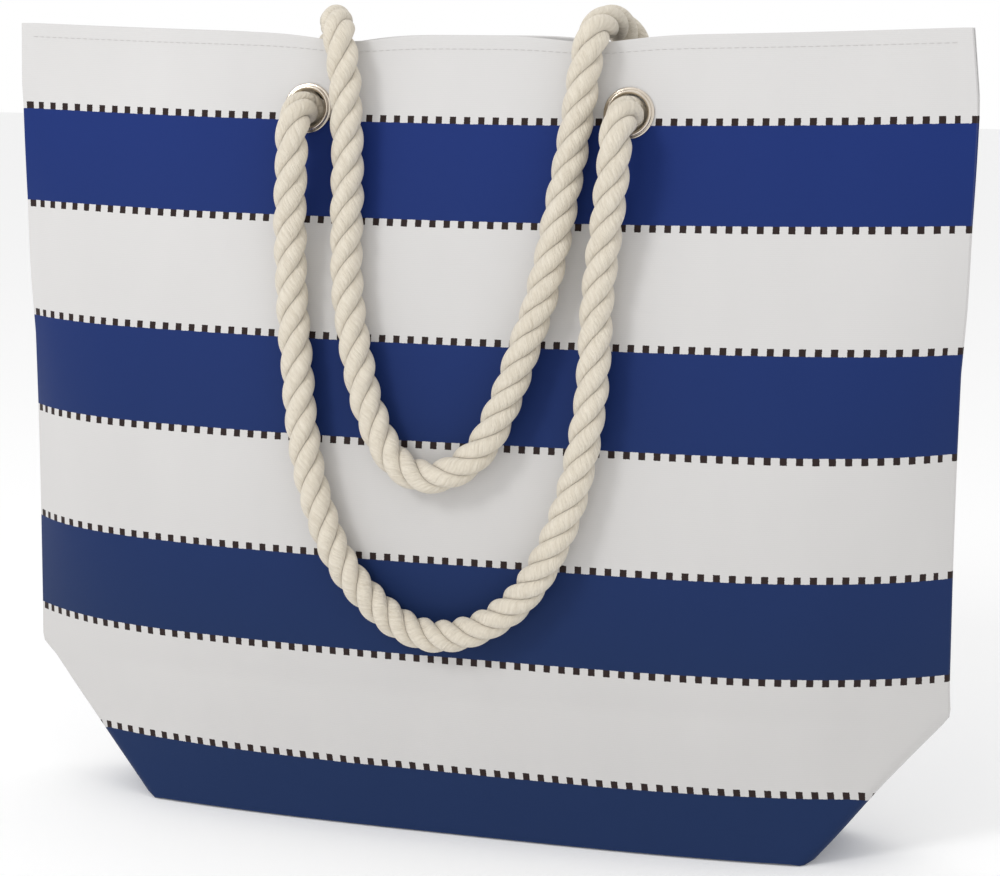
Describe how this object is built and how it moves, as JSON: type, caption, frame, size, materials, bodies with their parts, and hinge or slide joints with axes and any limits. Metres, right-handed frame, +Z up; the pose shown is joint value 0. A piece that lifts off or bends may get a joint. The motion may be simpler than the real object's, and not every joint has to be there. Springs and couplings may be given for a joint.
{
  "type": "beach bag",
  "caption": "Striped canvas beach tote with a flat gusseted base, lined inside, and rope handles that are knotted behind metal eyelets.",
  "frame": {"origin": "middle of the base on the surface that the bag stands on", "axes": "+X along the mouth towards the bag's right end as seen from the front, +Y from the front panel to the rear panel, +Z up"},
  "size_m": [0.495, 0.1136, 0.4098],
  "materials": {
    "striped_canvas": "fine satin canvas in broad cream white and navy bands, with a row of small brown ticks beside each navy edge",
    "blue_canvas": "fine satin canvas in plain navy",
    "lining_cloth": "thin plain-weave lining",
    "nickel": "polished nickel plate",
    "cotton_rope": "three-strand laid natural cotton"
  },
  "bodies": {
    "root": {"front_panel": "striped_canvas", "front_rim_facing": "striped_canvas", "front_lining": "lining_cloth", "rear_panel": "striped_canvas", "rear_rim_facing": "striped_canvas", "rear_lining": "lining_cloth", "base_panel": "blue_canvas", "base_lining": "lining_cloth", "front_left_eyelet": "nickel", "front_left_washer": "nickel", "front_right_eyelet": "nickel", "front_right_washer": "nickel", "rear_left_eyelet": "nickel", "rear_left_washer": "nickel", "rear_right_eyelet": "nickel", "rear_right_washer": "nickel", "front_rope_left_end": "cotton_rope", "front_rope_left_bend": "cotton_rope", "front_rope_right_bend": "cotton_rope", "front_rope_right_end": "cotton_rope", "rear_rope_left_end": "cotton_rope", "rear_rope_left_crest": "cotton_rope", "rear_rope_right_crest": "cotton_rope", "rear_rope_right_end": "cotton_rope", "front_left_knot": "cotton_rope", "front_right_knot": "cotton_rope", "rear_left_knot": "cotton_rope", "rear_right_knot": "cotton_rope"},
    "front_handle": {"front_rope_loop": "cotton_rope"},
    "rear_handle": {"rear_rope_loop": "cotton_rope"}
  },
  "joints": [
    {"name": "front_handle_swing", "type": "hinge", "parent": "root", "child": "front_handle", "pos_m": [0, -0.032, 0.3586], "axis": [-1, 0, 0], "range_deg": [0, 180], "deforming": ["front_rope_left_bend", "front_rope_right_bend"]},
    {"name": "rear_handle_swing", "type": "hinge", "parent": "root", "child": "rear_handle", "pos_m": [0, 0.0115, 0.4014], "axis": [-1, 0, 0], "range_deg": [0, 180], "deforming": ["rear_rope_left_crest", "rear_rope_right_crest"]}
  ]
}
